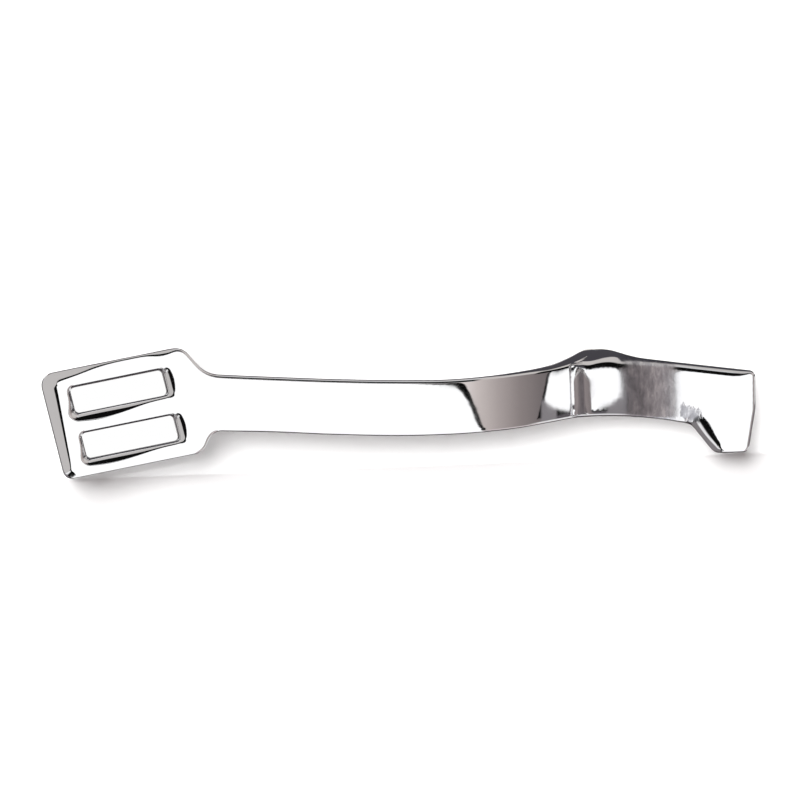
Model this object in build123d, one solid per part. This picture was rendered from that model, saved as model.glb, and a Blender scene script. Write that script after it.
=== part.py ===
from build123d import *

import os
from math import cos, radians, sin

# A riding spur of the short, square-ended English kind, in millimetres, as it lies on a table.
# +X runs back along the neck, Y across the heel, +Z up. The origin is the heel seat: the inside of
# the band at the back of the heel, on the plane of symmetry and at the middle of the band's height.

# Plan of the heel band's inside face: on each side a heel arc, a side arc, then a straight arm.
BAND_THICK = 3.2
ARM_SPLAY = 5.0                 # degrees that each arm opens away from the plane of symmetry
ARM_RUN = 72.0                  # straight part, to beyond the slotted end
HEEL_RADIUS = 40.0
HEEL_TURN = 24.0                # degrees of heel arc on each side of the plane of symmetry
SIDE_RADIUS = 19.0

# Side view of the arms and the heel, which rises to a low hump over the back of the boot.
ARM_TOP = [(-57.5, 4.1), (-40.0, 2.75), (-19.5, 1.8), (-10.0, 2.5), (-3.0, 4.6), (2.5, 5.9), (7.5, 4.9)]
ARM_BOTTOM = [(-57.0, -4.9), (-37.0, -6.2), (-20.0, -6.85), (-9.0, -6.45), (-1.0, -4.85), (6.0, -4.85)]
TOP_TANGENTS = [(1, -0.1), (1, -0.15)]          # at the arm and at the neck
BOTTOM_TANGENTS = [(-1, 0.25), (-1, 0.1)]       # at the neck and at the arm

# The slotted end of each arm: a slanting plate whose long and short edges lean differently.
PLATE_TILT = 9.2                # degrees that the long edges rise towards the heel
PLATE_LEAN = 12.0               # degrees that the outer end leans from upright
PLATE_CORNER = (-85.9, 5.1)     # upper outer corner, before rounding
PLATE_HEIGHT = 17.15            # along the leaning end
PLATE_TOP = 23.0
PLATE_BOTTOM = 22.2
PLATE_ROUND = 1.4
SHOULDER_ROUND = 2.6            # corners next to the arm
TOP_NECKING = (-59.6, 4.3)      # hollow corners where the plate narrows to the arm
TOP_NECKING_ROUND = 4.2
BOTTOM_NECKING = (-58.9, -4.9)
BOTTOM_NECKING_ROUND = 2.1

# Two slots, one above the other, for a spur strap about 13 mm wide.
SLOT_LENGTH = 15.1
SLOT_HEIGHT = 4.15
SLOT_ROUND = 0.6
SLOT_PITCH = 7.45               # along the leaning end
UPPER_SLOT = (-73.35, 2.05)

# Side view of the neck: a drooping bar with a square end whose lower corner drops.
NECK_TOP_END = (28.1, 1.45)
NECK_TOP_START = (14.0, 3.55)
NECK_END = [(27.9, -4.5), (26.5, -11.45), (21.2, -11.45), (17.4, -6.5)]
NECK_BOTTOM = (11.5, -5.5)
END_ROUND = 1.0
HOOK_ROUND = 1.8                # hollow behind the dropped corner

# Plan of the neck: flat sides that flare through a long hollow on to the back of the band.
NECK_HALF_WIDTH = 3.2
FLARE_TURN = 22.0               # degrees round the heel arc at which the flare meets the band
FOOT_HALF_WIDTH = 14.0          # where the flare's thin edge is trimmed blunt

# The rivet that holds the neck, with a countersunk head flush with the boot side of the band.
RIVET_RADIUS = 1.8
RIVET_HEAD_RADIUS = 3.0
RIVET_HEAD_DEPTH = 1.2
RIVET_HEAD_SPARE = 1.0          # stock in front of the head, trimmed to the band's boot side
RIVET_LENGTH = 11.0

EDGE_ROUND = 0.7                # polished edges
CROSSING = 0.9                  # how squarely an edge must run across to be left sharp
REACH = 60.0                    # half the size of the blocks that the outlines are cut from


def polar(centre, radius, degrees):
    """A point on a circle, with the angle measured from +X towards -Y."""
    turn = radians(degrees)
    return (centre[0] + radius * cos(turn), centre[1] - radius * sin(turn))


def mirrored(point):
    return (point[0], -point[1])


def band_curve(offset):
    """The U of the band in plan, as a wire offset outwards from its inside face."""
    heel_centre = (-HEEL_RADIUS, 0)
    side_centre = polar(heel_centre, HEEL_RADIUS - SIDE_RADIUS, HEEL_TURN)
    heel = HEEL_RADIUS + offset
    side = SIDE_RADIUS + offset
    arm_normal = 90 - ARM_SPLAY
    heel_end = polar(heel_centre, heel, HEEL_TURN)
    side_middle = polar(side_centre, side, (HEEL_TURN + arm_normal) / 2)
    arm_start = polar(side_centre, side, arm_normal)
    arm_end = polar(arm_start, ARM_RUN, 180 - ARM_SPLAY)
    return [
        Line(arm_end, arm_start),
        ThreePointArc(arm_start, side_middle, heel_end),
        ThreePointArc(heel_end, polar(heel_centre, heel, 0), mirrored(heel_end)),
        ThreePointArc(mirrored(heel_end), mirrored(side_middle), mirrored(arm_start)),
        Line(mirrored(arm_start), mirrored(arm_end)),
    ]


def closed_face(edges):
    """A face from edges that run end to end, closed with a straight line."""
    closing = Line(edges[-1] @ 1, edges[0] @ 0)
    return make_face(edges + [closing])


def plate_frame(along, down):
    """A point on the slotted end, from its upper outer corner."""
    x = PLATE_CORNER[0] + along * cos(radians(PLATE_TILT)) + down * sin(radians(PLATE_LEAN))
    z = PLATE_CORNER[1] + along * sin(radians(PLATE_TILT)) - down * cos(radians(PLATE_LEAN))
    return (x, z)


def side_outline():
    """The whole spur seen square from the side, standing in the XZ plane."""
    hump = Spline(ARM_TOP + [NECK_TOP_START], tangents=TOP_TANGENTS)
    belly = Spline([NECK_END[-1], NECK_BOTTOM] + ARM_BOTTOM[::-1], tangents=BOTTOM_TANGENTS)
    edges = [
        hump,
        Polyline(NECK_TOP_START, NECK_TOP_END, *NECK_END),
        belly,
        Polyline(
            ARM_BOTTOM[0],
            BOTTOM_NECKING,
            plate_frame(PLATE_BOTTOM, PLATE_HEIGHT),
            plate_frame(0, PLATE_HEIGHT),
            plate_frame(0, 0),
            plate_frame(PLATE_TOP, 0),
            TOP_NECKING,
            ARM_TOP[0],
        ),
    ]
    return make_face(edges)


def round_corners(sketch, corners, radius):
    """Round the outline's corners that lie nearest the given points."""
    for corner in corners:
        nearest = sketch.vertices().sort_by_distance(Vector(*corner))[0]
        sketch = fillet(nearest, radius)
    return sketch


def spur_outline():
    """The side outline with its corners rounded."""
    outline = side_outline()
    outline = round_corners(outline, [plate_frame(0, 0), plate_frame(0, PLATE_HEIGHT)], PLATE_ROUND)
    shoulders = [plate_frame(PLATE_TOP, 0), plate_frame(PLATE_BOTTOM, PLATE_HEIGHT)]
    outline = round_corners(outline, shoulders, SHOULDER_ROUND)
    outline = round_corners(outline, [TOP_NECKING], TOP_NECKING_ROUND)
    outline = round_corners(outline, [BOTTOM_NECKING], BOTTOM_NECKING_ROUND)
    outline = round_corners(outline, [NECK_TOP_END, NECK_END[1]], END_ROUND)
    return round_corners(outline, NECK_END[2:], HOOK_ROUND)


def slab(face):
    """A side-view face made solid right across the spur."""
    return extrude(Plane.XZ * face, REACH, both=True)


def column(face):
    """A plan-view face made solid from below the spur to above it."""
    return extrude(face, REACH, both=True)


def neck_plan():
    """The flat-sided neck and its flare, from inside the back of the band outwards."""
    heel_centre = (-HEEL_RADIUS, 0)
    meet = polar(heel_centre, HEEL_RADIUS + BAND_THICK, FLARE_TURN)
    heading = radians(90 - FLARE_TURN)
    flare_radius = (-meet[1] - NECK_HALF_WIDTH) / (1 - cos(heading))
    flare_end = (meet[0] + flare_radius * sin(heading), -NECK_HALF_WIDTH)
    flare_centre = (flare_end[0], -NECK_HALF_WIDTH - flare_radius)
    flare_middle = (
        flare_centre[0] - flare_radius * sin(heading / 2),
        flare_centre[1] + flare_radius * cos(heading / 2),
    )
    edges = [
        ThreePointArc(meet, flare_middle, flare_end),
        Polyline(flare_end, (REACH, -NECK_HALF_WIDTH), (REACH, NECK_HALF_WIDTH), mirrored(flare_end)),
        ThreePointArc(mirrored(flare_end), mirrored(flare_middle), mirrored(meet)),
        ThreePointArc(mirrored(meet), polar(heel_centre, HEEL_RADIUS + BAND_THICK, 0), meet),
    ]
    return make_face(edges)


def runs_through(edge):
    """Does a straight edge cross the thickness of an arm, or the width of the neck?"""
    return edge.geom_type == GeomType.LINE and abs((edge % 0.5).Y) > CROSSING


def polished_blank():
    """Band and neck as one body, with its long edges rounded as the polisher leaves them."""
    plan = closed_face(band_curve(BAND_THICK)) + neck_plan() - closed_face(band_curve(0))
    blank = column(plan) & slab(spur_outline())
    long_edges = [edge for edge in blank.edges() if not runs_through(edge)]
    return blank.fillet(EDGE_ROUND, long_edges)


def slots():
    """Both slots of a slotted end, as cutters that run right across the spur."""
    lower = (
        UPPER_SLOT[0] + SLOT_PITCH * sin(radians(PLATE_LEAN)),
        UPPER_SLOT[1] - SLOT_PITCH * cos(radians(PLATE_LEAN)),
    )
    shape = Rot(0, 0, PLATE_TILT) * RectangleRounded(SLOT_LENGTH, SLOT_HEIGHT, SLOT_ROUND)
    return slab(Pos(*UPPER_SLOT) * shape + Pos(*lower) * shape)


def rivet_blank():
    """Shank and countersunk head along +X, before the head is trimmed to the band's boot side."""
    along = Rot(0, 90, 0)
    shank = Pos(RIVET_LENGTH / 2, 0, 0) * along * Cylinder(RIVET_RADIUS, RIVET_LENGTH)
    cone = along * Cone(RIVET_HEAD_RADIUS, RIVET_RADIUS, RIVET_HEAD_DEPTH)
    spare = Pos(-RIVET_HEAD_SPARE / 2, 0, 0) * along * Cylinder(RIVET_HEAD_RADIUS, RIVET_HEAD_SPARE)
    return shank + Pos(RIVET_HEAD_DEPTH / 2, 0, 0) * cone + spare


def neck(blank):
    """The separate neck: all of the blank behind the band's back face, out to the foot's edges."""
    behind = column(Rectangle(REACH * 2, FOOT_HALF_WIDTH * 2))
    return (blank - column(closed_face(band_curve(BAND_THICK)))) & behind


def make_parts():
    blank = polished_blank()
    solid_neck = neck(blank)
    heel_space = column(closed_face(band_curve(0)))
    return {
        "heel_band": blank - solid_neck - slots() - rivet_blank(),
        "neck": solid_neck - rivet_blank(),
        "neck_rivet": rivet_blank() - heel_space,
    }


os.makedirs("parts", exist_ok=True)
for name, shape in make_parts().items():
    export_step(shape, f"parts/{name}.step")
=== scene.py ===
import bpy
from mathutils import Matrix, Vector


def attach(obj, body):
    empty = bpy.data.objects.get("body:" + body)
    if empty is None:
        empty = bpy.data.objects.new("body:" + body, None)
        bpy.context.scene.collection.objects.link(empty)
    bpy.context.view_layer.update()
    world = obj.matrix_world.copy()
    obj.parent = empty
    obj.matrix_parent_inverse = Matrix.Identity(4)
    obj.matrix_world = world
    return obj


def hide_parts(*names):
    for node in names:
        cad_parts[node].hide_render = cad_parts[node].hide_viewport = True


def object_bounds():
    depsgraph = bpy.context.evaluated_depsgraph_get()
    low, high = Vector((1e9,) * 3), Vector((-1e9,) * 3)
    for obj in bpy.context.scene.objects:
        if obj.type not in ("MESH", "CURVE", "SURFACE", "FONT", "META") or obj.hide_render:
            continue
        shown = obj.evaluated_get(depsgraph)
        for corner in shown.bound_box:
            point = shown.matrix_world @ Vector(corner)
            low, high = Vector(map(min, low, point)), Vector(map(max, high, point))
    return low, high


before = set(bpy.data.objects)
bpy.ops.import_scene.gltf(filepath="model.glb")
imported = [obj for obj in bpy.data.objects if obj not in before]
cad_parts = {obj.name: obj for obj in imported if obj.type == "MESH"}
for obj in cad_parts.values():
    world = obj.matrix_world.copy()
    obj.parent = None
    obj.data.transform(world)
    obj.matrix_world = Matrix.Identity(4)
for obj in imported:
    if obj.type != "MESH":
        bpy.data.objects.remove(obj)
cad_box = [list(corner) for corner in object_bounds()]

from math import asin, atan2, cos, pi, radians, sin, sqrt

import bmesh
import bpy
import numpy as np
from mathutils import Matrix, Vector
from mathutils.geometry import delaunay_2d_cdt

# A mirror-polished riding spur. Lengths are in millimetres until a mesh is written, in the CAD
# frame: +X back along the neck, Y across the heel, +Z up, origin at the heel seat.
MM = 0.001

# Plan of the band's inside face, as in the CAD: heel arc, side arc, straight arm.
THICK = 3.2
SPLAY = radians(5.0)
HEEL_RADIUS = 40.0
HEEL_TURN = radians(24.0)
SIDE_RADIUS = 19.0
HEEL_RUN = HEEL_RADIUS * HEEL_TURN
SIDE_RUN = SIDE_RADIUS * (pi / 2 - SPLAY - HEEL_TURN)
ARM_START_X = -19.16        # of the inside face, where the straight arm starts
BEND_BLUR = 5.0             # the smith's bends change radius gradually, over about this length
HALF_RUN = 112.0            # from the heel seat to beyond an arm's end, along the band
PATH_STEP = 0.05

# Heights of the band's edges against distance along the band from the heel seat.
TOP_EDGE = [
    (0, 5.9), (7, 5.55), (14, 4.6), (21, 3.45), (27, 2.75), (33, 2.2), (39, 1.93), (46, 2.1),
    (58, 2.75), (68, 3.5), (75.6, 4.1),
]
BOTTOM_EDGE = [
    (0, -4.85), (9, -4.85), (17, -4.95), (23, -5.5), (29, -6.25), (36, -6.75), (44, -6.8),
    (58, -6.1), (68, -5.3), (75.4, -4.9),
]
BAR_RUN = 75.0              # where the band ends and its slotted end begins

# The band's outside is a little lower at its edges than along its middle.
CROWN = 0.16
CROWN_LOSS = 0.65           # the part of it that the arms have lost
CROWN_LOSS_RUN = (37, 48)   # distances along the band over which they lose it
CROWN_END_RUN = (70, 78)    # and over which the rest goes, at the slotted end

# The slotted end, in the side view (x, z) of its arm. Along is from its toe end, down from its top.
PLATE_TILT = radians(9.2)
PLATE_LEAN = radians(12.0)
PLATE_CORNER = (-85.9, 5.1)
PLATE_HEIGHT = 17.15
PLATE_TOP = 23.0
PLATE_BOTTOM = 22.2
PLATE_ROUND = 1.4
PLATE_UPPER_ROUND = PLATE_ROUND + 0.7
SHOULDER_ROUND = 2.6
ARM_LOWER = ((-57.4, -4.88), (-58.9, -4.85), 2.15)     # the end of the arm's edge, the corner
ARM_UPPER = ((-57.6, 4.12), (-59.6, 4.3), 4.4)         # past it, and that corner's radius
SLOT_LENGTH = 15.1
SLOT_HEIGHT = 4.15
SLOT_ROUND = 0.75
SLOT_PITCH = 7.45
UPPER_SLOT = (-73.35, 2.05)
SLOT_START = 4.1            # along
SLOT_TOP = 2.95             # down, of the upper slot

# Rounding of the band's edges: how far it goes in from the edge, and out from the face.
BACK_ROUND = 0.6
FACE_ROUND = 0.5
HUMP_RUN = 20.0             # distance along the band over which the hump's fuller rounding fades
HUMP_BACK, HUMP_IN, HUMP_OUT = 0.6, 0.25, 0.3
PLATE_RUN = (75, 79)        # distances along the band over which the plate's own edge begins
PLATE_IN, PLATE_OUT = 0.4, 0.35
TOE_BEVEL = (2.1, 1.2)      # along the toe end: its width at the top, and how much of that it loses
TOP_BEVEL = ((1.3, 0.0, 13.0), (0.5, 20.0, 3.5))       # along the top: width, middle and reach
BEVEL_SLOPE = (0.43, 0.18)  # and how much steeper along the top
BEVEL = [(0, 1), (0.03, 0.75), (0.25, 0.56), (0.55, 0.3), (0.81, 0.07), (1, 0)]     # in, down
SLOT_BACK_ROUND = 0.3
SLOT_OUT = 0.85
UNDER_LIP = (1.25, 0.95)    # width of the soft lip under the upper and the lower slot
UNDER_LIP_SPAN = (4.0, 9.5)             # its middle along the slot, and its reach
END_LIP = 1.9               # width of the lip behind each slot
CAP_INSET = 0.22            # of the first ring on each flat face

# The neck, in the side view (x, z), and its plan: flat sides that flare on to the band.
RIDGE = [
    (-1.5, 5.9), (2.0, 5.9), (3.6, 5.9), (5.4, 5.62), (7.5, 4.88), (9.5, 4.32), (13.0, 3.72),
    (17.0, 3.1), (28.1, 1.45),
]
UNDERSIDE = [
    (-1.5, -4.82), (4.0, -4.85), (8.0, -5.1), (11.5, -5.5), (14.5, -6.0), (16.2, -6.35),
]
NECK_ROOT = -1.6            # at the flare's ends; nearer the middle the root follows the band
NECK_END = [
    ((17.6, -6.65), 1.8), ((21.2, -11.45), 1.8), ((26.5, -11.45), 1.1), ((27.9, -4.5), 6.0),
    ((28.1, 1.45), 1.0),
]
NECK_HALF_WIDTH = 3.2
FLARE = [                   # x, turn of the flank in degrees
    (-1.7, 50.0), (-1.3, 53.0), (-0.8, 66.0), (0.7, 66.0), (1.0, 57.3), (7.1, 42.9), (14.8, 9.0),
    (16.2, 2.5), (19.0, 0.0),
]
FLARE_SAMPLES = 400
FLARE_BLUR = 10             # samples each side
FLARE_CROWN = 0.2           # the flares are crowned as the band is
SADDLE_TUCK = 0.05          # how far the neck's root lies under the band's top edge

# The rivet's head and shank: radius and x.
RIVET = [
    (0.0, -0.1), (1.2, -0.09), (2.2, -0.05), (2.75, 0.0), (2.85, 0.12), (1.8, 1.2), (1.8, 2.6),
    (0.0, 2.8),
]
RIVET_SIDES = 48

STEP = 1.15                 # mesh spacing before subdivision
ARC_STEP = radians(12)
FILL_GAP = 0.55 * STEP      # the least distance from a filling point to an edge
FILL_MARGINS = (0.5, 0.7)   # and its distances from the lower and the upper edge of a column
BAND_ROWS, NECK_ROWS = 6, 8             # across the metal
BAND_EASE, NECK_EASE = 3.4, 2.0         # lengths over which the inward direction turns at a corner
SAME_POINT = 1e-5
TINY = 1e-9                 # in place of a division by nothing

# A dull, rougher hollow on the neck between two x, with upright marks, and a rough patch (x, 0, z);
# both are painted darker, as shade.
SHADED_HOLLOW = (7.2, 15.3)
SHADED_HOLLOW_SOFT = 1.5             # how softly the hollow ends
MARK_DEPTH = 0.035          # of its upright marks
DULL_ROUGHNESS = 0.26
SHADED_PATCH = (17.4, 0.0, -4.9)
SHADED_PATCH_RADIUS = (3.9, 4.8)          # where the patch starts to fade, and where it is gone
PATCH_RAGGED = 6.0           # how far the marks move its edge
BUFFING_DEPTH = 0.00035

# Reflected light.
WHITE = 1.15
EDGE_LIGHT = (0.6, 0.57, 0.55)
CEILING_SHADE = (0.063, 0.06, 0.068)
ROOM = (0.12, 0.095, 0.095)             # what lights matt surfaces

# The stage and the camera.
STAGE_WHITE = (0.86, 0.86, 0.86, 1.0)
FLOOR_FALL = 0.0034
FLOOR_Y = -10.0
FLOOR_SIZE = (230.0, 140.0)
BACKDROP_Y = 60.0
BACKDROP_SIZE = (320.0, 160.0)
GLOW_X, GLOW_Z = (-82.2, -64.0), (-8.1, 4.9)           # of the backdrop behind the slots
CAMERA_DISTANCE = 5.6       # metres
CAMERA_WIDTH = 0.1275       # of the view at the object, metres
CAMERA_ROLL = radians(2.215)
CAMERA_TARGET = (-28.62, 0.0, -1.035)
SENSOR = 36.0


def smooth_curve(points):
    """A cubic through the points, as a function of their first coordinate."""
    xs, ys = np.array(points, float).T
    slopes = np.gradient(ys, xs)

    def value(x):
        x = np.clip(x, xs[0], xs[-1])
        i = np.clip(np.searchsorted(xs, x) - 1, 0, len(xs) - 2)
        width = xs[i + 1] - xs[i]
        t = (x - xs[i]) / width
        start = (1 + 2 * t) * (1 - t) ** 2 * ys[i] + t * (1 - t) ** 2 * width * slopes[i]
        end = t * t * (3 - 2 * t) * ys[i + 1] + t * t * (t - 1) * width * slopes[i + 1]
        return start + end

    return value


def ramp(x, low, high):
    """0 below low, 1 above high, smooth between."""
    t = np.clip((x - low) / (high - low), 0, 1)
    return t * t * (3 - 2 * t)


top_edge = smooth_curve(TOP_EDGE)
bottom_edge = smooth_curve(BOTTOM_EDGE)
ridge = smooth_curve(RIDGE)
underside = smooth_curve(UNDERSIDE)


def band_path():
    """Distances along half of the band's inside face, with its x, y and turn at each."""
    run = np.arange(-HALF_RUN, HALF_RUN, PATH_STEP)
    away = np.abs(run)
    side = np.where(away < HEEL_RUN + SIDE_RUN, 1 / SIDE_RADIUS, 0)
    bend = np.where(away < HEEL_RUN, 1 / HEEL_RADIUS, side)
    window = np.hanning(int(BEND_BLUR / PATH_STEP))
    bend = np.convolve(bend, window / window.sum(), "same")
    half = run >= 0
    turn = np.cumsum(bend[half]) * PATH_STEP
    x = -np.cumsum(np.sin(turn)) * PATH_STEP
    y = np.cumsum(np.cos(turn)) * PATH_STEP
    return run[half], x, y, turn


PATH = band_path()


def place_band(u, z, _, out):
    """A point u along the band from the heel seat, and out from its inside; minus u is the left."""
    run, xs, ys, turns = PATH
    away = abs(u)
    turn = np.interp(away, run, turns)
    top = float(top_edge(away))
    middle = (top + float(bottom_edge(away))) / 2
    reach = min(1.0, abs(z - middle) / (top - middle))
    crown = CROWN * (1 - CROWN_LOSS * ramp(away, *CROWN_LOSS_RUN))
    out -= crown * reach**2 * (1 - ramp(away, *CROWN_END_RUN)) * out / THICK
    x = np.interp(away, run, xs) + out * cos(turn)
    y = np.interp(away, run, ys) + out * sin(turn)
    return (x, y if u > 0 else -y, z)


def along_arm(x, z):
    """A side-view point of an arm's straight part, as distance along the band and height."""
    middle_x = ARM_START_X + THICK * sin(SPLAY) / 2
    return (HEEL_RUN + SIDE_RUN + (middle_x - x) / cos(SPLAY), z)


def rounded(corners, step=STEP):
    """Points along a run of (point, radius) corners, with arcs at those that have a radius."""
    points = [Vector(corners[0][0])]
    for before, (corner, radius), after in zip(corners, corners[1:], corners[2:]):
        corner = Vector(corner)
        back = (Vector(before[0]) - corner).normalized()
        ahead = (Vector(after[0]) - corner).normalized()
        half = back.angle(ahead) / 2
        centre = corner + (back + ahead).normalized() * radius / sin(half)
        start = corner + back * radius / np.tan(half)
        end = corner + ahead * radius / np.tan(half)
        sweep = (start - centre).angle_signed(end - centre)
        count = max(2, round(abs(sweep) / ARC_STEP))
        for k in range(count + 1):
            points.append(centre + Matrix.Rotation(-sweep * k / count, 2) @ (start - centre))
    points.append(Vector(corners[-1][0]))
    out = [points[0]]
    for a, b in zip(points, points[1:]):
        pieces = max(1, round((b - a).length / step))
        out += [a.lerp(b, (k + 1) / pieces) for k in range(pieces)]
    return [tuple(p) for p in out]


def plate_point(along, down):
    """A side-view point of the slotted end, from its upper outer corner."""
    x = PLATE_CORNER[0] + along * cos(PLATE_TILT) + down * sin(PLATE_LEAN)
    z = PLATE_CORNER[1] + along * sin(PLATE_TILT) - down * cos(PLATE_LEAN)
    return along_arm(x, z)


def plate_outline():
    """Outline of the slotted end at plus u, from the arm's lower edge round to its upper edge."""
    corners = [
        (along_arm(*ARM_LOWER[0]), 0),
        (along_arm(*ARM_LOWER[1]), ARM_LOWER[2]),
        (plate_point(PLATE_BOTTOM, PLATE_HEIGHT), SHOULDER_ROUND),
        (plate_point(0, PLATE_HEIGHT), PLATE_ROUND),
        (plate_point(0, 0), PLATE_UPPER_ROUND),
        (plate_point(PLATE_TOP, 0), SHOULDER_ROUND),
        (along_arm(*ARM_UPPER[1]), ARM_UPPER[2]),
        (along_arm(*ARM_UPPER[0]), 0),
    ]
    return rounded(corners)


def slot_outline(centre):
    """A slot with rounded corners at plus u, clockwise so that the metal is on its left."""
    u, z = along_arm(*centre)
    half_x, half_z = SLOT_LENGTH / 2, SLOT_HEIGHT / 2
    along = Vector((-cos(PLATE_TILT), sin(PLATE_TILT)))
    down = Vector((-sin(PLATE_LEAN), -cos(PLATE_LEAN)))
    middle = Vector((u, z))
    ends = [(-1, 0), (-1, 1), (1, 1), (1, -1), (-1, -1), (-1, 0)]
    corners = [
        (tuple(middle + along * a * half_x + down * b * half_z), SLOT_ROUND) for a, b in ends
    ]
    points = rounded(corners)[:-1]
    return points if signed_area(points) < 0 else points[::-1]


def signed_area(points):
    p = np.array(points)
    q = np.roll(p, -1, 0)
    return float((p[:, 0] * q[:, 1] - q[:, 0] * p[:, 1]).sum() / 2)


def mirror_loop(points):
    return [(-u, z) for u, z in reversed(points)]


def inward(points, ease):
    """The direction into the metal at each point of a closed outline, eased round its corners."""
    p = np.array(points)
    ahead = np.roll(p, -1, 0) - p
    lengths = np.linalg.norm(ahead, axis=1)
    sides = np.stack([-ahead[:, 1], ahead[:, 0]], 1)
    starts = np.cumsum(lengths) - lengths
    middles = starts + lengths / 2
    total = lengths.sum()
    away = (middles[None, :] - starts[:, None] + total / 2) % total - total / 2
    weights = np.clip(1 - np.abs(away) / ease, 0, None)
    normal = weights @ sides
    return normal / np.linalg.norm(normal, axis=1)[:, None]


def inside(points, loop):
    """Which points lie inside a closed loop."""
    x, y = points[:, 0][:, None], points[:, 1][:, None]
    a = np.array(loop)
    b = np.roll(a, -1, 0)
    crosses = (a[:, 1] > y) != (b[:, 1] > y)
    climb = np.where(b[:, 1] == a[:, 1], TINY, b[:, 1] - a[:, 1])
    reach = a[:, 0] + (y - a[:, 1]) * (b[:, 0] - a[:, 0]) / climb
    return (crosses & (x < reach)).sum(1) % 2 == 1


def within(points, loops):
    keep = inside(points, loops[0])
    for hole in loops[1:]:
        keep &= ~inside(points, hole)
    return keep


def new_object(bm, name):
    mesh = bpy.data.meshes.new(name)
    bm.to_mesh(mesh)
    bm.free()
    made = bpy.data.objects.new(name, mesh)
    bpy.context.scene.collection.objects.link(made)
    return made


def smooth_piece(bm, name):
    """A smooth-shaded piece of the finished mesh, subdivided once."""
    bmesh.ops.recalc_face_normals(bm, faces=bm.faces)
    for face in bm.faces:
        face.smooth = True
    piece = new_object(bm, name)
    smoother = piece.modifiers.new("smooth", "SUBSURF")
    smoother.levels = smoother.render_levels = 1
    return piece


def edge_rings(bm, loop, directions, profiles, place):
    """The rounded edge along one loop, as (flat points, vertices) for each ring from the back."""
    rings = []
    for k in range(len(profiles[0])):
        flat = [
            (p[0] + d[0] * profile[k][0], p[1] + d[1] * profile[k][0])
            for p, d, profile in zip(loop, directions, profiles)
        ]
        made = [
            bm.verts.new(Vector(place(f[0], f[1], *profile[k][1:])) * MM)
            for f, profile in zip(flat, profiles)
        ]
        rings.append((flat, made))
    for (_, low), (_, high) in zip(rings, rings[1:]):
        for i in range(len(low)):
            j = (i + 1) % len(low)
            bm.faces.new([low[i], low[j], high[j], high[i]])
    return rings


def flat_face(bm, flats, verts, filling, height, place):
    """One face of a slab, between its innermost rings, with filling points where there is room.

    height(point) gives a point's (across, out).
    """
    ring_points = np.array([p for flat in flats for p in flat])
    candidates = np.array(filling)
    candidates = candidates[within(candidates, flats)]
    gap = np.array([np.min(np.hypot(*(ring_points - c).T)) for c in candidates])
    candidates = candidates[gap > FILL_GAP]
    for c in candidates:
        verts.append(bm.verts.new(Vector(place(c[0], c[1], *height(tuple(c)))) * MM))
    points = np.concatenate([ring_points, candidates])
    edges, start = [], 0
    for flat in flats:
        edges += [(start + i, start + (i + 1) % len(flat)) for i in range(len(flat))]
        start += len(flat)
    found = delaunay_2d_cdt([Vector(p) for p in points], edges, [], 0, SAME_POINT)
    triangles = np.array(found[2])
    back = {new: old[0] for new, old in enumerate(found[3]) if old}
    centres = np.array(found[0])[triangles].mean(1)
    made = []
    for triangle in triangles[within(centres, flats)]:
        made.append(bm.faces.new([verts[back[int(i)]] for i in triangle]))
    bmesh.ops.join_triangles(bm, faces=made, angle_face_threshold=0.3, angle_shape_threshold=0.7)


def slab(name, loops, rim, place, filling, ease):
    """A solid from a flat outline with holes: rim gives its rounded edge, and place bends it.

    rim(loop number, point) gives one (inset, across, out) for each ring from the back face to the
    front. No two innermost rings may cross.
    """
    bm = bmesh.new()
    rings = []
    for number, loop in enumerate(loops):
        directions = inward(loop, ease if number == 0 else STEP)
        profiles = [rim(number, point) for point in loop]
        rings.append(edge_rings(bm, loop, directions, profiles, place))
    for end in (0, -1):
        flats = [ring[end][0] for ring in rings]
        verts = [v for ring in rings for v in ring[end][1]]
        flat_face(bm, flats, verts, filling, lambda point: rim(0, point)[end][1:], place)
    return smooth_piece(bm, name)


def column(x, low, high, rows):
    """Filling points between the lower and the upper edge at one station."""
    low, high = low + FILL_MARGINS[0], high - FILL_MARGINS[1]
    return [(x, low + (high - low) * k / rows) for k in range(1, rows)]


def quarter(steps):
    """Angles from 0 to a right angle."""
    return [pi / 2 * k / steps for k in range(steps + 1)]


def bump(x, centre, reach):
    """1 at the centre, falling smoothly to 0 at reach from it."""
    return 1 - ramp(abs(x - centre), 0, reach)


def plate_frame(point):
    """How far along and down the slotted end a flat point is, from its upper outer corner."""
    corner, across, down = (Vector(plate_point(*p)) for p in ((0, 0), (1, 0), (0, 1)))
    across, down = across - corner, down - corner
    offset = Vector((abs(point[0]), point[1])) - corner
    area = across.x * down.y - across.y * down.x
    return (
        (offset.x * down.y - offset.y * down.x) / area,
        (across.x * offset.y - across.y * offset.x) / area,
    )


def slot_edge(number, along, down):
    """How far a slot's edge is rounded, in and out: softly under the slot and behind it.

    Loops 1 and 2 are the upper slots and the others the lower ones. over, under, before and behind
    are 1 along the slot's upper and lower edges and its toe and heel ends.
    """
    lower = number > 2
    top = SLOT_TOP + (SLOT_PITCH if lower else 0)
    heel_end = SLOT_START + SLOT_LENGTH
    over = 1 - ramp(down, top + 0.2, top + 1.2)
    under = ramp(down, top + 2.0, top + 3.9)
    before = 1 - ramp(along, SLOT_START + 0.1, SLOT_START + 0.9)
    behind = ramp(along, heel_end - 0.6, heel_end - 0.1)
    middle, reach = UNDER_LIP_SPAN
    lip = UNDER_LIP[lower] * under * bump(along, SLOT_START + middle, reach) * (1 - behind)
    front_in = FACE_ROUND + lip + END_LIP * behind * bump(down, top + SLOT_HEIGHT / 2, 3.2)
    return front_in, SLOT_OUT + 0.45 * over + 0.7 * before


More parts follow.
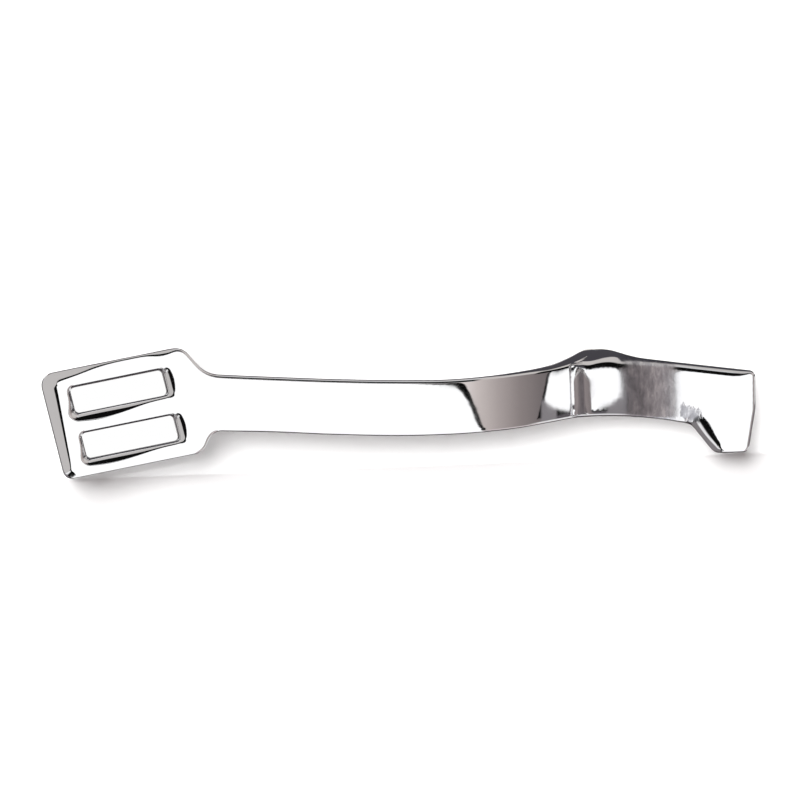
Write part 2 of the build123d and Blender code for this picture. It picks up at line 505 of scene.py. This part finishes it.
def outer_edge(hump, plate, along, down):
    """The same for the outline, with how far its rounding turns into the plate's bevel."""
    toe = ramp(-along, -2.6, -0.4)
    top = ramp(-down, -3.0, -0.6) * (1 - toe)
    front_in = FACE_ROUND + HUMP_IN * hump
    front_out = FACE_ROUND + HUMP_OUT * hump
    width = PLATE_IN + (TOE_BEVEL[0] - TOE_BEVEL[1] * down / PLATE_HEIGHT) * toe
    width += top * sum(wide * bump(along, middle, reach) for wide, middle, reach in TOP_BEVEL)
    slope = BEVEL_SLOPE[0] + BEVEL_SLOPE[1] * top
    front_in += plate * (width - front_in)
    front_out += plate * (PLATE_OUT + slope * (width - PLATE_IN) - front_out)
    return front_in, front_out, plate * ramp(width, 0.6, 1.2)


def band_rim(number, point):
    """Rounded edge of the band, as (inset, across, out) rings from the boot side to the face.

    The outline, loop 0, is fuller at the hump and has a bevel along the toe end and the top of
    each slotted end. The other loops are the slots.
    """
    u, z = point
    along, down = plate_frame(point)
    shape = [(1 - cos(t), 1 - sin(t)) for t in quarter(5)]
    if number:
        back = SLOT_BACK_ROUND
        front_in, front_out = slot_edge(number, along, down)
    else:
        hump = np.exp(-((u / HUMP_RUN) ** 2)) if z > 0 else 0
        back = BACK_ROUND + HUMP_BACK * hump
        front_in, front_out, bevel = outer_edge(hump, ramp(abs(u), *PLATE_RUN), along, down)
        shape = [
            (a + bevel * (c - a), b + bevel * (d - b)) for (a, b), (c, d) in zip(shape, BEVEL)
        ]
    profile = [(back + CAP_INSET, 0, 0)]
    profile += [(back * (1 - sin(t)), 0, back * (1 - cos(t))) for t in quarter(3)]
    profile.append((0, 0, (back + THICK - front_out) / 2))
    profile += [(front_in * across, 0, THICK - front_out * below) for across, below in shape]
    profile.append((front_in + CAP_INSET, 0, THICK))
    return profile


def make_band():
    stations = np.linspace(-BAR_RUN, BAR_RUN, round(2 * BAR_RUN / STEP) + 1)
    plate = plate_outline()
    lower = [(u, float(bottom_edge(abs(u)))) for u in stations[1:-1]]
    upper = [(u, float(top_edge(abs(u)))) for u in stations[-2:0:-1]]
    outline = lower + plate + upper + mirror_loop(plate)
    lower_slot = (
        UPPER_SLOT[0] + SLOT_PITCH * sin(PLATE_LEAN),
        UPPER_SLOT[1] - SLOT_PITCH * cos(PLATE_LEAN),
    )
    loops = [outline]
    for centre in (UPPER_SLOT, lower_slot):
        slot = slot_outline(centre)
        loops += [slot, mirror_loop(slot)]
    filling = []
    for u in stations:
        filling += column(u, float(bottom_edge(abs(u))), float(top_edge(abs(u))), BAND_ROWS)
    for along in np.arange(0.0, 26.0, STEP):
        for down in np.arange(0.0, PLATE_HEIGHT, STEP):
            u, z = plate_point(along, down)
            if u > BAR_RUN + 0.6:
                filling += [(u, z), (-u, z)]
    return slab("heel_band_polished", loops, band_rim, place_band, filling, BAND_EASE)


def flare_profile():
    """Half the neck's width at stations along it, from the turn of its flanks."""
    xs = np.linspace(FLARE[0][0], FLARE[-1][0], FLARE_SAMPLES)
    turns = np.interp(xs, *np.array(FLARE).T)
    window = np.hanning(2 * FLARE_BLUR + 1)
    turns = np.convolve(np.pad(turns, FLARE_BLUR, "edge"), window / window.sum(), "valid")
    slopes = np.tan(np.radians(turns))
    steps = (slopes[1:] + slopes[:-1]) / 2 * np.diff(xs)
    widths = NECK_HALF_WIDTH + np.append(np.cumsum(steps[::-1])[::-1], 0)
    return xs, widths, slopes


FLARE_AT = flare_profile()


def half_width(x):
    """Half the neck's width, with its slope."""
    xs, widths, slopes = FLARE_AT
    if x > xs[-1]:
        return NECK_HALF_WIDTH, 0.0
    return float(np.interp(x, xs, widths)), float(np.interp(x, xs, slopes))


def place_neck(x, z, across, inset):
    """A point of the neck: across runs from -1 to 1, and inset is a distance in from the flank."""
    width, slope = half_width(x)
    top = float(ridge(x))
    middle = (top + float(underside(x))) / 2
    height = (z - middle) / (top - middle)
    crown = FLARE_CROWN * min(height**2, 1.0) * (1 - ramp(x, 7.5, 11.0))
    y = across * (width - crown - inset * sqrt(1 + slope * slope))
    height = np.clip(height, 0, 1)
    saddle = float(top_edge(0)) - float(top_edge(abs(y)))
    tuck = SADDLE_TUCK * (1 - ramp(x, 1.6, 3.0))
    mid_radius = HEEL_RADIUS + THICK / 2
    root = mid_radius * cos(asin(min(1.0, abs(y) / mid_radius))) - HEEL_RADIUS
    return (max(x, root), y, z - height * (saddle + tuck))


def neck_rim(_, point):
    """Rounded edge of the neck, with the flat strip between its two flanks.

    It is fuller along the top, at the hump and in the flare, and bevelled down the slope before
    the hook; each of those is 1 there and fades to 0 past it.
    """
    x, z = point
    hump = (1 - ramp(x, 4.0, 15.0)) if z > 0 else 0
    top = (1 - ramp(x, 25.0, 27.8)) * ramp(z, -0.6, 0.8)
    flare = top * ramp(x, -0.5, 1.5) * (1 - ramp(x, 6.5, 9.0))
    slope = ramp(x, 16.0, 17.6) * (1 - ramp(x, 20.8, 22.6)) * (1 - ramp(z, -5.9, -5.4))
    round_in = (0.45 + 0.75 * top + 1.0 * flare) * ramp(x, NECK_ROOT, NECK_ROOT + 1.5)
    round_in += (1.3 + 1.1 * ramp(z, -10.5, -7.0)) * slope
    round_out = 0.5 + 0.5 * top + 0.2 * hump + 0.8 * flare + 0.8 * slope
    near = [(round_in * (1 - sin(t)), -1, round_out * (1 - cos(t))) for t in quarter(4)]
    strip = [(0, -cos(pi * k / 12), round_out) for k in range(1, 12)]
    far = [(inset, 1, depth) for inset, _, depth in reversed(near)]
    return near + strip + far


def make_neck():
    root_end, hook_start = 1.6, UNDERSIDE[-1][0]
    stations = np.concatenate([
        np.linspace(NECK_ROOT, root_end, 8)[:-1], np.linspace(root_end, hook_start, 18),
    ])
    lower = [(x, float(underside(x))) for x in stations]
    upper_stations = list(np.linspace(27.0, 16.8, 10)) + list(stations[::-1])
    upper = [(x, float(ridge(x))) for x in upper_stations]
    end = rounded([(lower[-1], 0)] + NECK_END + [(upper[0], 0)])
    root = [(NECK_ROOT, z) for z in np.linspace(upper[-1][1], lower[0][1], 10)[1:-1]]
    outline = lower[:-1] + end + upper[1:] + root
    filling = []
    for x in stations[1:]:
        filling += column(x, float(underside(x)), float(ridge(x)), NECK_ROWS)
    for x in np.arange(17.0, 28.0, STEP):
        filling += [(x, float(ridge(x)) - 0.5 - STEP * k) for k in range(1, 14)]
    return slab("neck_polished", [outline], neck_rim, place_neck, filling, NECK_EASE)


def make_rivet():
    """The countersunk rivet's head, ground almost flush with the boot side, and its shank."""
    bm = bmesh.new()
    rings = []
    for radius, x in RIVET:
        if radius == 0:
            rings.append([bm.verts.new((x * MM, 0, 0))])
            continue
        angles = [2 * pi * k / RIVET_SIDES for k in range(RIVET_SIDES)]
        rings.append([
            bm.verts.new((x * MM, radius * cos(a) * MM, radius * sin(a) * MM)) for a in angles
        ])
    for low, high in zip(rings, rings[1:]):
        for i in range(RIVET_SIDES):
            j = (i + 1) % RIVET_SIDES
            round_face = ((low, i), (low, j), (high, j), (high, i))
            corners = [ring[k % len(ring)] for ring, k in round_face]
            bm.faces.new(list(dict.fromkeys(corners)))
    return smooth_piece(bm, "neck_rivet_head")


# Materials

def node(tree, kind, **inputs):
    """A new shader node with sockets set by name or _number; a value that is a socket is linked."""
    made = tree.nodes.new(kind)
    for name, value in inputs.items():
        key = int(name[1:]) if name[0] == "_" else name.replace("_", " ")
        if isinstance(value, bpy.types.NodeSocket):
            tree.links.new(value, made.inputs[key])
        else:
            made.inputs[key].default_value = value
    return made


def calc(tree, operation, first, second=0.0, third=0.0):
    made = node(tree, "ShaderNodeMath", _0=first, _1=second, _2=third)
    made.operation = operation
    return made.outputs[0]


def rise(tree, value, low, high):
    """0 where the value is under low and 1 where it is over high; low over high turns it round."""
    made = node(tree, "ShaderNodeMapRange", Value=value, _1=low, _2=high)
    made.interpolation_type = "SMOOTHSTEP"
    return made.outputs[0]


def between(tree, value, low, high, soft=0.5):
    """1 where the value is between low and high, with soft edges."""
    up = rise(tree, value, low - soft, low + soft)
    down = rise(tree, value, high - soft, high + soft)
    return calc(tree, "SUBTRACT", up, down)


def paint(tree, below, colour, mask):
    """The colour over what is below, where the mask is 1."""
    mixed = tree.nodes.new("ShaderNodeMix")
    mixed.data_type = "RGBA"
    factor, first, second = (mixed.inputs[k] for k in (0, 6, 7))
    for socket, value in ((factor, mask), (first, below), (second, colour)):
        if isinstance(value, bpy.types.NodeSocket):
            tree.links.new(value, socket)
        else:
            rgb = value if isinstance(value, tuple) else (value, value, value)
            socket.default_value = (*rgb, 1.0)
    return mixed.outputs[2]


def colour_ramp(tree, factor, stops):
    made = node(tree, "ShaderNodeValToRGB", Fac=factor)
    elements = made.color_ramp.elements
    while len(elements) > 1:
        elements.remove(elements[-1])
    for k, (position, colour) in enumerate(stops):
        element = elements[0] if k == 0 else elements.new(position)
        element.position = position
        element.color = (*colour, 1.0)
    return made.outputs["Color"]


def noise(tree, place, **settings):
    return node(tree, "ShaderNodeTexNoise", Vector=place, **settings).outputs["Fac"]


def bumped(tree, height, depth, **below):
    """The normal after a bump of this depth in millimetres."""
    distance = depth * MM
    made = node(tree, "ShaderNodeBump", Height=height, Strength=1.0, Distance=distance, **below)
    return made.outputs[0]


def stretched(tree, place, scale):
    return node(tree, "ShaderNodeMapping", Vector=place, Scale=scale).outputs[0]


def steel(name, colour, roughness, smear, wave_depth, pit_depth, dull_and_shaded=False):
    """Polished steel: a slow waviness from hand polishing, fine buffing lines and smeared gloss."""
    material = bpy.data.materials.new(name)
    material.use_nodes = True
    tree = material.node_tree
    shader = tree.nodes["Principled BSDF"]
    shader.inputs["Metallic"].default_value = 1.0
    place = tree.nodes.new("ShaderNodeTexCoord").outputs["Object"]
    smears = noise(tree, place, Scale=160.0, Detail=5.0, Roughness=0.6)
    gloss = node(tree, "ShaderNodeMapRange", Value=smears, _1=0.35, _2=0.7,
                 _3=roughness, _4=roughness + smear).outputs[0]
    tint = colour_ramp(tree, smears, [(0.3, colour), (0.7, tuple(c * 0.97 for c in colour))])
    waves = noise(tree, place, Scale=110.0, Detail=1.0)
    buffing = noise(tree, stretched(tree, place, (300.0, 300.0, 9000.0)), Scale=1.0, Detail=3.0)
    pits = noise(tree, place, Scale=1800.0, Detail=3.0, Roughness=0.7)
    normal = bumped(tree, waves, wave_depth)
    normal = bumped(tree, buffing, BUFFING_DEPTH, Normal=normal)
    normal = bumped(tree, pits, pit_depth, Normal=normal)
    # On the neck: painted shade, a darker colour in its hollow and in a ragged patch, which are
    # also rougher.
    if dull_and_shaded:
        tint, gloss, normal = dull_and_shaded_surface(tree, place, tint, gloss, normal)
    tree.links.new(tint, shader.inputs["Base Color"])
    tree.links.new(gloss, shader.inputs["Roughness"])
    tree.links.new(normal, shader.inputs["Normal"])
    return material


def dull_and_shaded_surface(tree, place, tint, gloss, normal):
    """The same steel made rougher, with upright marks, in the hollow and the ragged patch, and
    painted darker there as shade.
    """
    marks = noise(tree, stretched(tree, place, (900.0, 900.0, 420.0)), Scale=1.0, Detail=4.0,
                  Roughness=0.65)
    x = node(tree, "ShaderNodeSeparateXYZ", Vector=place).outputs[0]
    hollow = between(tree, x, *(end * MM for end in SHADED_HOLLOW), SHADED_HOLLOW_SOFT * MM)
    flat = node(tree, "ShaderNodeVectorMath", _0=place, _1=(1.0, 0.0, 1.0))
    flat.operation = "MULTIPLY"
    centre = tuple(c * MM for c in SHADED_PATCH)
    reach = node(tree, "ShaderNodeVectorMath", _0=flat.outputs[0], _1=centre)
    reach.operation = "DISTANCE"
    ragged = calc(tree, "MULTIPLY_ADD", marks, PATCH_RAGGED * MM, reach.outputs["Value"])
    outside = rise(tree, ragged, *(radius * MM for radius in SHADED_PATCH_RADIUS))
    dull_and_shaded_area = calc(tree, "MAXIMUM", hollow, calc(tree, "SUBTRACT", 1.0, outside))
    # Painted shade: a darker, mottled colour in the hollow and the patch.
    shaded_tint = colour_ramp(tree, marks, [
        (0.35, (0.4, 0.4, 0.43)), (0.52, (0.58, 0.58, 0.62)), (0.72, (0.88, 0.88, 0.9)),
    ])
    return (
        paint(tree, tint, shaded_tint, dull_and_shaded_area),
        paint(tree, gloss, DULL_ROUGHNESS, dull_and_shaded_area),
        bumped(tree, calc(tree, "MULTIPLY", marks, dull_and_shaded_area), MARK_DEPTH, Normal=normal),
    )


# Studio

def studio_world():
    """The studio that the polished metal reflects: white cards and dark gaps round the object.

    Cards are laid out by the lean of the surface that would show them to a lens on the object's
    left: side is the lean towards the heel and up is the lean upwards, in degrees.
    """
    world = bpy.data.worlds.new("studio")
    bpy.context.scene.world = world
    world.use_nodes = True
    tree = world.node_tree
    direction = tree.nodes.new("ShaderNodeTexCoord").outputs["Generated"]
    halfway = node(tree, "ShaderNodeVectorMath", _0=direction, _1=(0.0, -1.0, 0.0)).outputs[0]
    unit = node(tree, "ShaderNodeVectorMath", _0=halfway)
    unit.operation = "NORMALIZE"
    lean_x, lean_y, lean_z = node(tree, "ShaderNodeSeparateXYZ", Vector=unit.outputs[0]).outputs
    _, backward, height = node(tree, "ShaderNodeSeparateXYZ", Vector=direction).outputs

    def minus(value):
        return calc(tree, "MULTIPLY", value, -1.0)

    def in_degrees(operation, value):
        return calc(tree, "MULTIPLY", calc(tree, operation, value), 180 / pi)

    def slanted(value, factor, other):
        return calc(tree, "MULTIPLY_ADD", value, factor, other)

    def over(value, low, high):
        return rise(tree, value, low, high)

    def span(value, low, high, soft=0.5):
        return between(tree, value, low, high, soft)

    def both(first, second):
        return calc(tree, "MULTIPLY", first, second)

    side = in_degrees("ARCSINE", lean_x)
    up = in_degrees("ARCSINE", lean_z)
    lean = in_degrees("ARCCOSINE", minus(lean_y))
    toe_side, down = minus(side), minus(up)

    # The toe wall's edge, and the heel wall's, which leans only near the horizon.
    toe_edge = slanted(up, 0.6, toe_side)
    held = calc(tree, "MINIMUM", calc(tree, "MAXIMUM", up, -4.5), 6.5)
    heel_edge = slanted(held, 0.95, side)
    fade = node(tree, "ShaderNodeMapRange", Value=side, _1=8.0, _2=48.0).outputs[0]
    heel_wall = colour_ramp(tree, fade, [
        (0.0, (0.7, 0.64, 0.62)), (0.08, (0.6, 0.54, 0.52)), (0.3, (0.42, 0.37, 0.36)),
        (0.55, (0.27, 0.235, 0.23)), (0.8, (0.19, 0.165, 0.165)), (1.0, (0.17, 0.15, 0.15)),
    ])
    under = calc(tree, "SUBTRACT", 1.0, over(up, 4.5, 5.5))
    heel_face = calc(tree, "MAXIMUM", under, over(side, 9, 13))

    # The bright card on the heel side: slanted ends, a sloping floor and one corner cut off.
    card_end = slanted(up, -0.9, side)
    card_floor = over(slanted(side, 0.11, up), 3.2, 3.8)
    card_cut = over(slanted(side, 0.29, up), 11.5, 12.0)
    card_low = both(card_floor, card_cut)
    card_shape = both(both(span(card_end, 43.2, 61.6, 0.4), card_low), over(up, 5.6, 5.0))
    over_card = span(side, 37.5, 61.5, 0.6)

    heel = over(side, 11, 15)
    behind = both(over(backward, 0.0, 0.25), over(height, 0.05, 0.1))
    below = both(over(height, -0.3, -0.6), over(up, -20, -30))
    level = both(over(side, -12, -6), over(side, 14, 8))

    layers = [
        # Above: a dark gap, a light card and the dark ceiling.
        (0.004, span(up, 5.5, 24)),
        (0.66, span(up, 24, 52, 1.5)),
        (0.05, over(up, 50, 56)),
        # To the toe side: a dark gap and a light wall, darker at its foot.
        (0.004, over(toe_side, 4.2, 4.8)),
        ((0.55, 0.53, 0.52), over(toe_edge, 13, 14)),
        ((0.22, 0.205, 0.21), both(over(down, 9, 12), over(toe_side, 14, 16))),
        # To the heel side: a wall that falls away into shade behind a dark edge.
        (heel_wall, both(heel_face, over(heel_edge, 9.5, 10.5))),
        (0.002, both(under, span(heel_edge, 8.4, 10.3, 0.2))),
        # Beyond it: the dull wall, and a bright card in a dark frame.
        ((0.36, 0.32, 0.315), over(side, 61.3, 62.3)),
        ((0.11, 0.1, 0.11), both(span(side, 42.5, 63, 0.6), over(up, -1, -3))),
        (0.003, both(span(card_end, 41.6, 63.5, 0.4), span(up, -3.4, 11.0, 0.3))),
        ((0.24, 0.225, 0.235), both(span(side, 41, 50, 1.0), over(down, 0.2, 0.8))),
        (WHITE, card_shape),
        # Over the heel side: a light edge, then the dark ceiling.
        (EDGE_LIGHT, both(heel, span(up, 11, 38, 1.0))),
        (CEILING_SHADE, both(heel, over(up, 37, 42))),
        # Behind: the ceiling's shade nearly down to the horizon, and a card on the toe side.
        (CEILING_SHADE, behind),
        (0.62, both(behind, over(side, -25, -35))),
        # Over the bright card: a dark bar and a light edge.
        (0.003, both(over_card, span(up, 4.8, 19.0, 0.5))),
        (EDGE_LIGHT, both(over_card, span(up, 19.0, 39.0, 0.8))),
        # Below: the pale floor runs on, into the dark.
        (1.1, both(below, level)),
        ((0.62, 0.56, 0.56), both(heel, span(up, -44, -24, 1.0))),
        ((0.05, 0.042, 0.045), over(up, -44, -50)),
        # Dark behind everything, which outlines the metal where it turns away.
        ((0.05, 0.045, 0.048), both(over(lean, 68, 72), span(up, -12, 35, 3.0))),
        # Cards that light the other sides: before the toe, and behind on the heel side.
        (0.85, both(span(side, -31, -13, 1.5), span(up, -17, -10.5, 1.5))),
        (0.8, both(over(side, 33, 40), span(up, -40, -13, 2.0))),
    ]
    picture = WHITE
    for colour, mask in layers:
        picture = paint(tree, picture, colour, mask)

    # The camera sees plain white, and matt surfaces are lit by an even room.
    path = tree.nodes.new("ShaderNodeLightPath")
    shown = paint(tree, ROOM, 1.0, path.outputs["Is Camera Ray"])
    shown = paint(tree, shown, picture, path.outputs["Is Glossy Ray"])
    tree.links.new(shown, tree.nodes["Background"].inputs["Color"])


def card(name, centre, size, turn, glow=None):
    """A pale matt stage surface, seen and lit from its front only; glow is an area (x, z) of it."""
    bm = bmesh.new()
    bmesh.ops.create_grid(bm, x_segments=8, y_segments=8, size=0.5)
    shape = turn @ Matrix.Diagonal((size[0] * MM, size[1] * MM, 1, 1))
    bmesh.ops.transform(bm, matrix=shape, verts=bm.verts)
    surface = new_object(bm, name)
    surface.location = Vector(centre) * MM
    surface.visible_glossy = False
    material = bpy.data.materials.new(name)
    material.use_nodes = True
    tree = material.node_tree
    tree.nodes.clear()
    front = node(tree, "ShaderNodeBsdfDiffuse", Color=STAGE_WHITE).outputs[0]
    if glow:
        mask = glow_mask(tree, *glow)
        light = node(tree, "ShaderNodeEmission", Strength=1.0).outputs[0]
        front = node(tree, "ShaderNodeMixShader", _0=mask, _1=front, _2=light).outputs[0]
    clear = tree.nodes.new("ShaderNodeBsdfTransparent").outputs[0]
    back = tree.nodes.new("ShaderNodeNewGeometry").outputs["Backfacing"]
    either = node(tree, "ShaderNodeMixShader", _0=back, _1=front, _2=clear).outputs[0]
    output = tree.nodes.new("ShaderNodeOutputMaterial")
    tree.links.new(either, output.inputs["Surface"])
    surface.data.materials.append(material)


def glow_mask(tree, x_range, z_range):
    """1 in an area that leans with the slots, with soft edges."""
    place = tree.nodes.new("ShaderNodeTexCoord").outputs["Object"]
    x, _, z = node(tree, "ShaderNodeSeparateXYZ", Vector=place).outputs
    (x_low, x_high), (z_low, z_high) = ((a * MM, b * MM) for a, b in (x_range, z_range))
    aside = calc(tree, "SUBTRACT", x, (x_low + x_high) / 2)
    z = calc(tree, "MULTIPLY_ADD", aside, -sin(PLATE_TILT), z)
    across = between(tree, x, x_low, x_high, MM)
    return calc(tree, "MULTIPLY", across, between(tree, z, z_low, z_high, MM))


def make_stage():
    """The floor, and a pale backdrop behind the object that takes its shadow.

    The floor falls away by a fraction of a degree, so the level camera sees none of it. The
    backdrop glows behind the slots, so that they show no shadow.
    """
    middle_x = (cad_box[0][0] + cad_box[1][0]) / 2 / MM
    floor_z = cad_box[0][2] / MM
    near_y = cad_box[0][1] / MM
    floor_centre = (middle_x, FLOOR_Y, floor_z - FLOOR_FALL * (FLOOR_Y - near_y))
    card("floor", floor_centre, FLOOR_SIZE, Matrix.Rotation(-atan2(FLOOR_FALL, 1), 4, "X"))
    glow = (tuple(x - middle_x for x in GLOW_X), GLOW_Z)
    upright = Matrix.Rotation(radians(90), 4, "X")
    card("backdrop", (middle_x, BACKDROP_Y, 0.0), BACKDROP_SIZE, upright, glow)


def make_light(name, direction, strength, spread):
    """A far soft light that the polished metal doesn't show; spread is its width in degrees."""
    light = bpy.data.lights.new(name, "SUN")
    light.energy = strength
    light.angle = radians(spread)
    lamp = bpy.data.objects.new(name, light)
    lamp.rotation_euler = Vector(direction).to_track_quat("-Z", "Y").to_euler()
    lamp.visible_glossy = False
    bpy.context.scene.collection.objects.link(lamp)


def make_lights():
    """One light from above, and two from in front that cast the shadow on the backdrop."""
    make_light("overhead", (0.15, -0.12, -0.98), 3.3, 60.0)
    make_light("front_near", (0.03, 1.0, -0.024), 2.5, 3.4)
    make_light("front_wide", (0.05, 1.0, -0.066), 1.2, 6.6)


def make_camera():
    """A long lens to the rider's left, level and slightly rolled.

    It stands opposite the slots, so the far arm's slots are hidden behind the near arm's.
    """
    data = bpy.data.cameras.new("camera")
    data.sensor_width = SENSOR
    data.lens = SENSOR * CAMERA_DISTANCE / CAMERA_WIDTH
    data.clip_start, data.clip_end = 0.1, 10.0
    camera = bpy.data.objects.new("camera", data)
    roll = Matrix.Rotation(CAMERA_ROLL, 4, "Y")
    level = Matrix.Rotation(radians(90), 4, "X")
    centre = Vector(CAMERA_TARGET) * MM
    aside = centre.x - UPPER_SLOT[0] * MM
    turn = Matrix.Rotation(-atan2(aside, CAMERA_DISTANCE), 4, "Z")
    stand = Matrix.Translation(centre - Vector((aside, CAMERA_DISTANCE, 0)))
    camera.matrix_world = stand @ turn @ roll @ level
    bpy.context.scene.collection.objects.link(camera)
    bpy.context.scene.camera = camera


def finish_piece(piece, cad_node, slot):
    piece.data.materials.append(steels[slot])
    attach(piece, "root")
    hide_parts(cad_node)


steels = {
    "polished_steel": steel(
        "polished_steel", colour=(0.93, 0.93, 0.94), roughness=0.03, smear=0.05,
        wave_depth=0.02, pit_depth=0.0001,
    ),
    "polished_steel_neck": steel(
        "polished_steel_neck", colour=(0.92, 0.92, 0.935), roughness=0.04, smear=0.08,
        wave_depth=0.02, pit_depth=0.0004, dull_and_shaded=True,
    ),
    "rivet_steel": steel(
        "rivet_steel", colour=(0.85, 0.85, 0.86), roughness=0.14, smear=0.12,
        wave_depth=0.02, pit_depth=0.0006,
    ),
}
finish_piece(make_band(), "heel_band", "polished_steel")
finish_piece(make_neck(), "neck", "polished_steel_neck")
finish_piece(make_rivet(), "neck_rivet", "rivet_steel")
studio_world()
make_stage()
make_lights()
make_camera()
bpy.context.scene.view_settings.view_transform = "Standard"
